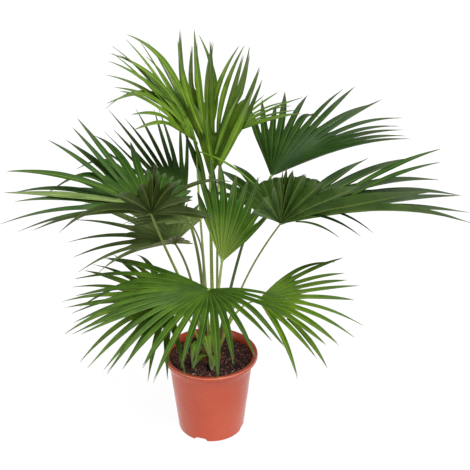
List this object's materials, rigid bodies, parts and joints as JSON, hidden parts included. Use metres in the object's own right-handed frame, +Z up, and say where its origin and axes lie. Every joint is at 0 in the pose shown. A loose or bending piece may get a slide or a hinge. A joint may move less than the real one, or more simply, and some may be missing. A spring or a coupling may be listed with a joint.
{
  "type": "potted chinese fan palm",
  "caption": "Young potted fan palm: pleated, deeply split fan fronds on slender stalks round a short fibrous trunk, in a round ribless nursery pot.",
  "frame": {"origin": "middle of the pot's flat underside, where it stands on the floor", "axes": "+Z up along the pot's axis; -Y is the front, towards which the lowest front frond hangs over the rim; +X is to the right seen from the front"},
  "size_m": [0.9206, 0.8249, 0.8959],
  "materials": {
    "pot": "satin",
    "soil": "matte",
    "trunk": "matte",
    "stalk": "satin",
    "blade": "satin",
    "strap": "satin"
  },
  "bodies": {
    "root": {"pot": "pot", "soil": "soil", "trunk": "trunk", "stalk_front_low": "stalk", "frond_front_low": "blade", "stalk_right_low": "stalk", "frond_right_low": "blade", "stalk_left_low": "stalk", "frond_left_low": "blade", "stalk_left_middle": "stalk", "frond_left_middle": "blade", "stalk_left_high": "stalk", "frond_left_high": "blade", "stalk_back_left": "stalk", "frond_back_left": "blade", "stalk_top_left": "stalk", "frond_top_left": "blade", "stalk_top_centre": "stalk", "frond_top_centre": "blade", "stalk_top_right": "stalk", "frond_top_right": "blade", "stalk_right_high": "stalk", "frond_right_high": "blade", "stalk_right_middle": "stalk", "frond_right_middle": "blade", "stalk_centre_young": "stalk", "frond_centre_young": "blade", "stalk_back_middle": "stalk", "frond_back_middle": "blade", "leaf_strap_right": "strap", "leaf_strap_left": "strap"}
  },
  "joints": []
}
